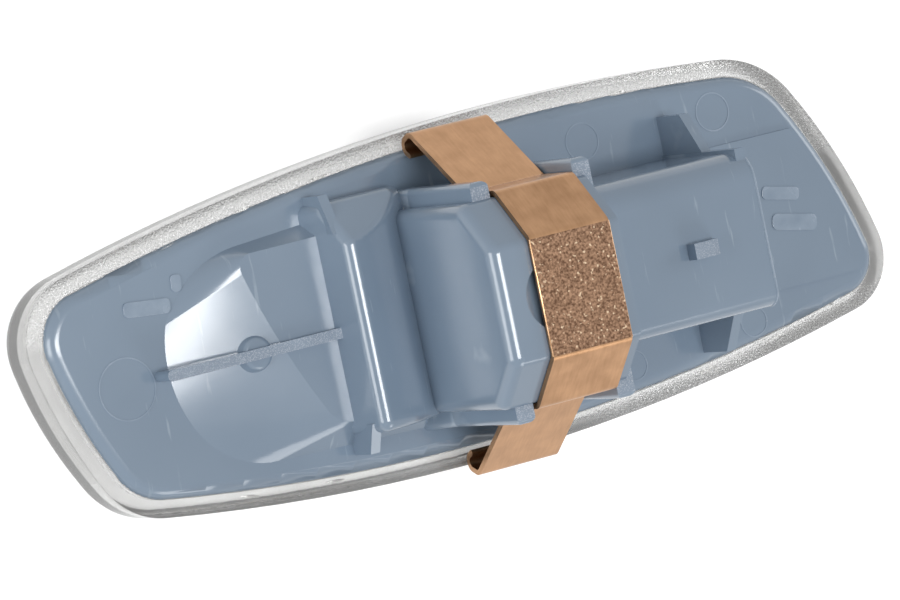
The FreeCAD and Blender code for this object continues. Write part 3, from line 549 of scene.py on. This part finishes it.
# Painted light: a pale, milky base colour under part of the glass stands in for the light that runs
# through the thick rim.
rim_light = lens_acrylic.blend(grain.outputs["Tone"], *PAINTED_RIM_LIGHT)
dots = lens_acrylic.blend(stipple.outputs["Tone"], *DOTS, DOT_ENDS)
zone = stipple_zone(lens_acrylic)
lens_acrylic.drive("Base Color", lens_acrylic.mix(zone, rim_light, dots))
lens_acrylic.rough(grain.outputs["Tone"], 0.10, 0.22)
peel = joined(lens_acrylic, "MULTIPLY", zone, stipple.outputs["Tone"])
lens_acrylic.bump(peel, 0.6, PEEL)
pass_light(lens_acrylic)

lens_clear = Finish("lens_clear")
lens_clear.plain(IOR=ACRYLIC_IOR, Transmission_Weight=0.97)
grain = lens_clear.group(GRAIN, Broad_Scale=40, Fine_Scale=300)
lens_clear.drive("Base Color", lens_clear.blend(grain.outputs["Tone"], grey(0.93), grey(0.98)))
lens_clear.rough(grain.outputs["Tone"], 0.02, 0.06)
lens_clear.bump(grain.outputs["Height"], 0.04, FINE)
pass_light(lens_clear)

lens = NODES["lens"]
dress("lens", lens_acrylic, lens_clear)
for face in lens.data.polygons:
    on_crown = abs(face.normal.z) > CROWN_TILT and face.center.z < CROWN_Z
    face.material_index = CROWN if on_crown else RIM
print("crown faces", sum(face.material_index for face in lens.data.polygons))

# %% [markdown]
# ## Spring clip
# The clip is a strip of copper alloy, cut from a coil, folded and curled at its ends. The top face
# keeps the grainy skin of the rolled coil; its dark brown is a painted reflection of the dark
# surroundings that the flat top mirrors, and its bright specks are painted glints. The folded sides
# were rubbed smooth by the bending tool and look tan. Two finishes by the direction of the face
# show that.

# %% Strip bronze
TOP_REFLECTION_BROWN = [(0.120, 0.065, 0.040), (0.36, 0.220, 0.140)]
TOP_REFLECTION_ENDS = (0.35, 0.65)
PAINTED_GLINT_COPPER = (0.95, 0.72, 0.50)
FLAT_TOP = 24 * MM
FLAT = 0.98
SIDES, TOP = range(2)

strip_bronze = Finish("strip_bronze")
strip_bronze.plain(Metallic=1.0)
grain = strip_bronze.group(GRAIN, Broad_Scale=420, Fine_Scale=2600)
brush = strip_bronze.group(BRUSH, Scale=3500)
bright = strip_bronze.blend(grain.outputs["Tone"], (0.46, 0.265, 0.145), (0.57, 0.338, 0.193))
dull = strip_bronze.blend(grain.outputs["Tone"], (0.34, 0.188, 0.096), (0.43, 0.248, 0.132))
strip_bronze.drive("Base Color", strip_bronze.mix(brush.outputs["Tone"], bright, dull))
strip_bronze.rough(grain.outputs["Tone"], 0.30, 0.40)
strip_bronze.bump(grain.outputs["Height"], 0.08, FINE)

# Painted reflection: the flat top is dark brown for the dark surroundings it mirrors, and its pale
# specks are painted glints.
strip_top_painted_reflection = Finish("strip_top_painted_reflection")
strip_top_painted_reflection.plain(Metallic=1.0)
grain = strip_top_painted_reflection.group(GRAIN, Broad_Scale=3600, Fine_Scale=2600)
specks = strip_top_painted_reflection.group(SPECKS, Scale=2100, Rarity=0.66)
top_reflection = strip_top_painted_reflection.blend(grain.outputs["Tone"], *TOP_REFLECTION_BROWN, TOP_REFLECTION_ENDS)
strip_top_painted_reflection.drive("Base Color", strip_top_painted_reflection.mix(specks.outputs["Mask"], top_reflection, PAINTED_GLINT_COPPER))
strip_top_painted_reflection.rough(specks.outputs["Mask"], 0.40, 0.18, MASK_ENDS)
strip_top_painted_reflection.bump(grain.outputs["Tone"], 0.45, COARSE)

clip = NODES["spring_clip"]
dress("spring_clip", strip_bronze, strip_top_painted_reflection)
for face in clip.data.polygons:
    on_top = face.normal.z > FLAT and face.center.z > FLAT_TOP
    face.material_index = TOP if on_top else SIDES
print("clip faces", len(clip.data.polygons))

# %% [markdown]
# ## Bulb and contacts
# Inside sit a small wedge bulb and two tinned contact strips whose blades end in the connector.
# The glass is thin and tinted amber, with faint draw marks; the tin is soft and scuffed; the
# wires are drawn steel. All of it is seen only through the lens and in the mouth of the
# connector, so a plain finish for each is enough.

# %% Contacts and bulb
contact_tin = Finish("contact_tin")
contact_tin.plain(Metallic=1.0)
grain = contact_tin.group(GRAIN, Broad_Scale=200, Fine_Scale=4000)
tin = contact_tin.blend(grain.outputs["Tone"], (0.62, 0.58, 0.48), (0.72, 0.68, 0.58))
contact_tin.drive("Base Color", tin)
contact_tin.rough(grain.outputs["Height"], 0.25, 0.4)
contact_tin.bump(grain.outputs["Height"], 0.1, 0.02 * MM)
for node in ("low_contact", "top_contact"):
    dress(node, contact_tin)

bulb_glass = Finish("bulb_glass")
bulb_glass.plain(IOR=1.5, Transmission_Weight=1.0)
grain = bulb_glass.group(GRAIN, Broad_Scale=80, Fine_Scale=400)
amber = bulb_glass.blend(grain.outputs["Tone"], (1.0, 0.70, 0.28), (1.0, 0.76, 0.36))
bulb_glass.drive("Base Color", amber)
bulb_glass.rough(grain.outputs["Tone"], 0.0, 0.03)
bulb_glass.bump(grain.outputs["Height"], 0.05, FINE)
dress("bulb_glass", bulb_glass)

wire_steel = Finish("wire_steel")
wire_steel.plain(Metallic=1.0)
grain = wire_steel.group(GRAIN, Broad_Scale=400, Fine_Scale=6000)
wire_steel.drive("Base Color", wire_steel.blend(grain.outputs["Tone"], grey(0.4), grey(0.55)))
wire_steel.rough(grain.outputs["Height"], 0.3, 0.45)
for node in ("filament", "low_lead_wire", "top_lead_wire"):
    dress(node, wire_steel)

# %% [markdown]
# ## Ejector marks
# Pins push the moulding out of its mould, and each pin leaves a thin round witness line. A flat
# ring is cut from a disc by an inset, laid on the housing by a shrinkwrap, so that it follows the
# slope of the bulge too, and given a little thickness. Working on the finished surface saves
# measuring its height.

# %% Ejector marks
RING_WIDTH = 0.16 * MM
RING_RISE = 0.10 * MM
DROP_FROM = 12 * MM
PIN_MARKS = [
    ("left_pin_mark", -44.4, -0.7, 3.5),
    ("top_pin_mark", 35.7, 13.6, 2.25),
    ("middle_pin_mark", 18.0, 13.8, 2.2),
    ("low_pin_mark", 35.6, -10.9, 1.8),
    ("clip_pin_mark", 18.8, -12.3, 1.8),
]


def start_piece(name):
    """Names the new mesh and opens it for editing with all of it selected."""
    piece = bpy.context.object
    piece.name = name
    piece.data.name = name
    bpy.ops.object.mode_set(mode="EDIT")
    bpy.ops.mesh.select_all(action="SELECT")
    return piece


def end_piece(piece, finish):
    """Gives a new piece its material and lets it ride on the lamp."""
    piece.data.materials.clear()
    piece.data.materials.append(finish.material)
    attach(piece, "root")
    return piece


def apply_modifier(piece, kind, **values):
    """Adds a modifier, sets it and applies it."""
    modifier = piece.modifiers.new(kind.lower(), kind)
    for name, value in values.items():
        setattr(modifier, name, value)
    bpy.ops.object.modifier_apply(modifier=modifier.name)


def pin_mark(name, x, y, radius):
    """A thin raised ring that follows the surface of the housing."""
    bpy.ops.object.select_all(action="DESELECT")
    bpy.ops.mesh.primitive_circle_add(vertices=96, radius=radius * MM, fill_type="NGON")
    piece = start_piece(name)
    bpy.ops.transform.translate(value=(x * MM, y * MM, DROP_FROM))
    bpy.ops.mesh.inset(thickness=RING_WIDTH)
    bpy.ops.mesh.delete(type="ONLY_FACE")
    bpy.ops.object.mode_set(mode="OBJECT")
    apply_modifier(
        piece,
        "SHRINKWRAP",
        target=housing,
        wrap_method="PROJECT",
        use_project_z=True,
        use_negative_direction=True,
        use_positive_direction=False,
    )
    apply_modifier(piece, "SOLIDIFY", thickness=RING_RISE, offset=0.0)
    # The ring takes the paler finish, a painted highlight.
    return end_piece(piece, pale_highlight_plastic)


marks = [pin_mark(*row) for row in PIN_MARKS]
print("ejector marks", len(marks))

# %% [markdown]
# ## Raised bars
# The real moulding carries raised lettering in two places. It is left off, and plain low bars
# keep the places: one for each word. A bar starts as a cube, is stretched, its upright corners
# are rounded and its top edge is eased.

# %% Raised bars
BAR_RISE = 0.14
BAR_SINK = 0.10
BAR_CORNER = 0.35
BAR_EDGE = 0.05
NEARLY_ALL, NEARLY_HALF = 0.9, 0.49
BARS = [
    ("left_long_bar", -40.1, 7.4, 5.8, 1.7, -6, 1.0),
    ("left_short_bar", -36.0, 9.3, 1.3, 1.9, -6, 1.0),
    ("right_short_bar", 42.2, 2.7, 5.0, 1.5, -12, 1.45),
    ("right_long_bar", 43.3, -0.9, 6.0, 1.9, -12, 1.45),
]


def select_edges(piece, wanted):
    """Selects the edges that a test picks by their two ends."""
    bpy.ops.mesh.select_all(action="DESELECT")
    bpy.ops.mesh.select_mode(type="EDGE")
    bpy.ops.object.mode_set(mode="OBJECT")
    spots = [vertex.co for vertex in piece.data.vertices]
    for edge in piece.data.edges:
        edge.select = wanted(spots[edge.vertices[0]], spots[edge.vertices[1]])
    bpy.ops.object.mode_set(mode="EDIT")


def raised_bar(name, x, y, length, width, turn, foot):
    """A low bar with rounded corners."""
    bpy.ops.object.select_all(action="DESELECT")
    bpy.ops.mesh.primitive_cube_add(size=MM)
    piece = start_piece(name)
    height = BAR_RISE + BAR_SINK
    bpy.ops.transform.resize(value=(length, width, height))
    upright = NEARLY_ALL * height * MM
    select_edges(piece, lambda a, b: abs(a.z - b.z) > upright)
    bpy.ops.mesh.bevel(offset=min(length, width) * BAR_CORNER * MM, segments=5, affect="EDGES")
    level_top = NEARLY_HALF * height * MM
    select_edges(piece, lambda a, b: a.z > level_top and b.z > level_top)
    bpy.ops.mesh.bevel(offset=BAR_EDGE * MM, segments=2, affect="EDGES")
    bpy.ops.mesh.select_all(action="SELECT")
    bpy.ops.transform.rotate(value=math.radians(-turn), orient_axis="Z", center_override=(0, 0, 0))
    lift = (foot - BAR_SINK + height / 2) * MM
    bpy.ops.transform.translate(value=(x * MM, y * MM, lift))
    bpy.ops.object.mode_set(mode="OBJECT")
    # The bar takes the paler finish, a painted highlight.
    return end_piece(piece, pale_highlight_plastic)


bars = [raised_bar(*row) for row in BARS]
print("raised bars", len(bars))

# %% [markdown]
# ## Weld flash
# Housing and lens are welded, and here and there a sliver of plastic is squeezed out of the seam.
# One sliver is modelled: a cube stretched to a needle, its two ends drawn thin, its edges eased.
# The others are copies with a mesh of their own, each turned along the seam.

# %% Weld flash
FLASH_SIZE = (2.4, 0.30, 0.30)
FLASH_THIN = (1, 0.25, 0.35)
FLASH_EDGE = 0.03
FLASH = [
    (-45.7, 10.7, 15.6),
    (-35.8, 13.2, 14.7),
    (-25.7, 15.3, 8.9),
    (-15.5, 16.8, 6.8),
    (24.5, 18.2, 176.7),
    (36.3, 17.0, 168.3),
    (51.9, -8.4, 61.6),
    (47.8, -11.0, 21.6),
    (38.5, -13.4, 12.5),
    (28.6, -14.9, 9.5),
    (-21.2, -16.3, 176.5),
    (-32.0, -15.5, 168.4),
]


def make_sliver():
    """One sliver of weld flash, lying along X at the origin."""
    bpy.ops.object.select_all(action="DESELECT")
    bpy.ops.mesh.primitive_cube_add(size=MM)
    piece = start_piece("weld_flash_0")
    bpy.ops.transform.resize(value=FLASH_SIZE)
    bpy.ops.mesh.subdivide(number_cuts=2)
    end = NEARLY_HALF * FLASH_SIZE[0] * MM
    foot = -0.5 * FLASH_SIZE[2] * MM
    for side in (-1, 1):
        select_edges(piece, lambda a, b: min(a.x * side, b.x * side) > end)
        bpy.ops.transform.resize(value=FLASH_THIN, center_override=(0, 0, foot))
    bpy.ops.mesh.select_all(action="SELECT")
    bpy.ops.mesh.bevel(offset=FLASH_EDGE * MM, segments=1, affect="EDGES")
    bpy.ops.object.mode_set(mode="OBJECT")
    return piece


sliver = make_sliver()
pattern = sliver.data.copy()
for number, (x, y, turn) in enumerate(FLASH):
    if number:
        sliver = bpy.data.objects.new(f"weld_flash_{number}", pattern.copy())
        bpy.context.scene.collection.objects.link(sliver)
    lift = 0.5 * FLASH_SIZE[2]
    turned = Matrix.Rotation(math.radians(turn), 4, "Z")
    sliver.data.transform(Matrix.Translation(Vector((x, y, lift)) * MM) @ turned)
    end_piece(sliver, lens_acrylic)
print("slivers", len(FLASH))

# %% [markdown]
# ## Bead of the mouth
# The mould parts at the mouth of the shroud, and the joint leaves a fine bead round the outer
# edge there. It catches the light as a thin line. The bead follows the edge: a plane of the size
# of the shroud is stood up in the mouth, its two upper corners are rounded by a bevel of the
# corner points, the face and the lower edge go, and the line that is left becomes a curve with a
# round section. A swept tube in the solid model would be as good, but would slow it.

# %% Bead of the mouth
MOUTH_X = 29.2
SHROUD_MIDDLE, SHROUD_HALF, SHROUD_TOP = 0.8, 8.9, 17.6
SHOULDERS = [(1, 3.4), (-1, 2.0)]
BEAD_FOOT = 1.6
BEAD_RADIUS = 0.15
BEAD_INSET = 0.03
NEAR = 1.0


def select_points(piece, wanted):
    """Selects the points that a test picks by their place."""
    bpy.ops.mesh.select_all(action="DESELECT")
    bpy.ops.mesh.select_mode(type="VERT")
    bpy.ops.object.mode_set(mode="OBJECT")
    for vertex in piece.data.vertices:
        vertex.select = wanted(vertex.co / MM)
    bpy.ops.object.mode_set(mode="EDIT")


bpy.ops.object.select_all(action="DESELECT")
bpy.ops.mesh.primitive_plane_add(size=2 * MM)
bead = start_piece("mouth_bead")
bpy.ops.transform.rotate(value=math.radians(90), orient_axis="Y", center_override=(0, 0, 0))
half_height = (SHROUD_TOP - BEAD_INSET - BEAD_FOOT) / 2
stretch = (1, SHROUD_HALF - BEAD_INSET, half_height)
bpy.ops.transform.resize(value=stretch, center_override=(0, 0, 0))
centre = Vector((MOUTH_X - BEAD_INSET, SHROUD_MIDDLE, BEAD_FOOT + half_height)) * MM
bpy.ops.transform.translate(value=centre)
for side, shoulder in SHOULDERS:
    corner = (SHROUD_MIDDLE + side * SHROUD_HALF, SHROUD_TOP)
    select_points(bead, lambda spot: math.dist((spot.y, spot.z), corner) < NEAR)
    bpy.ops.mesh.bevel(offset=shoulder * MM, segments=10, affect="VERTICES")
bpy.ops.mesh.select_all(action="SELECT")
bpy.ops.mesh.delete(type="ONLY_FACE")
select_edges(bead, lambda a, b: max(a.z, b.z) < (BEAD_FOOT + CLOSE) * MM)
bpy.ops.mesh.delete(type="EDGE")
bpy.ops.object.mode_set(mode="OBJECT")
bpy.ops.object.convert(target="CURVE")
bead.data.bevel_depth = BEAD_RADIUS * MM
bead.data.bevel_resolution = 3
bead.data.use_fill_caps = True
bpy.ops.object.convert(target="MESH")
bead = bpy.context.object
bead.data.name = "mouth_bead"
# The bead takes the paler finish, a painted highlight on its thin line.
end_piece(bead, pale_highlight_plastic)
print("bead", len(bead.data.polygons), "faces")

# %% [markdown]
# ## Burr of the clip
# A strip is sheared from the coil, and the shear rolls its upper edge into a fine round burr that
# shines as a bright line beside the grainy top. A burr starts as a cylinder laid along the edge;
# its ends are drawn in, as the fold stretches them, and eased. It is modelled once for the left
# edge and copied to the right one. A rounded edge in the solid would do the same, but at a fifth
# of a millimetre it is not worth a fillet there.

# %% Burr of the clip
BURR_RADIUS = 0.17
BURR_DEPTH = 0.12
BURR_TAPER = 0.6
BURR_EDGE = 0.04

# Painted highlight: the burr is a paler copper than the clip, to brighten the line it shines as.
burr_highlight_metal = Finish("burr_highlight_metal")
burr_highlight_metal.plain(Metallic=1.0)
grain = burr_highlight_metal.group(GRAIN, Broad_Scale=900, Fine_Scale=3000)
painted_shine = burr_highlight_metal.blend(grain.outputs["Tone"], (0.62, 0.36, 0.19), (0.80, 0.52, 0.31))
burr_highlight_metal.drive("Base Color", painted_shine)
burr_highlight_metal.rough(grain.outputs["Tone"], 0.20, 0.34)
burr_highlight_metal.bump(grain.outputs["Height"], 0.15, FINE)

flat = [face for face in clip.data.polygons if face.material_index == TOP]
corners = [clip.data.vertices[corner].co for face in flat for corner in face.vertices]
left_edge, right_edge = min(spot.x for spot in corners), max(spot.x for spot in corners)
near_end, far_end = min(spot.y for spot in corners), max(spot.y for spot in corners)
clip_top = max(spot.z for spot in corners)

bpy.ops.object.select_all(action="DESELECT")
span = far_end - near_end
bpy.ops.mesh.primitive_cylinder_add(vertices=24, radius=BURR_RADIUS * MM, depth=span)
burr = start_piece("left_clip_burr")
bpy.ops.transform.rotate(value=math.radians(90), orient_axis="X", center_override=(0, 0, 0))
tip = NEARLY_HALF * span
for side in (-1, 1):
    select_edges(burr, lambda a, b: min(a.y * side, b.y * side) > tip)
    bpy.ops.transform.resize(value=(BURR_TAPER, 1, BURR_TAPER), center_override=(0, 0, 0))
    bpy.ops.mesh.bevel(offset=BURR_EDGE * MM, segments=2, affect="EDGES")
bpy.ops.mesh.select_all(action="SELECT")
middle = (near_end + far_end) / 2
bpy.ops.transform.translate(value=(left_edge, middle, clip_top - BURR_DEPTH * MM))
bpy.ops.mesh.faces_shade_smooth()
bpy.ops.object.mode_set(mode="OBJECT")
other = bpy.data.objects.new("right_clip_burr", burr.data.copy())
other.data.name = "right_clip_burr"
bpy.context.scene.collection.objects.link(other)
other.data.transform(Matrix.Translation((right_edge - left_edge, 0, 0)))
for piece in (burr, other):
    end_piece(piece, burr_highlight_metal)
print("burrs at", [round(edge / MM, 2) for edge in (left_edge, right_edge, clip_top)], "mm")
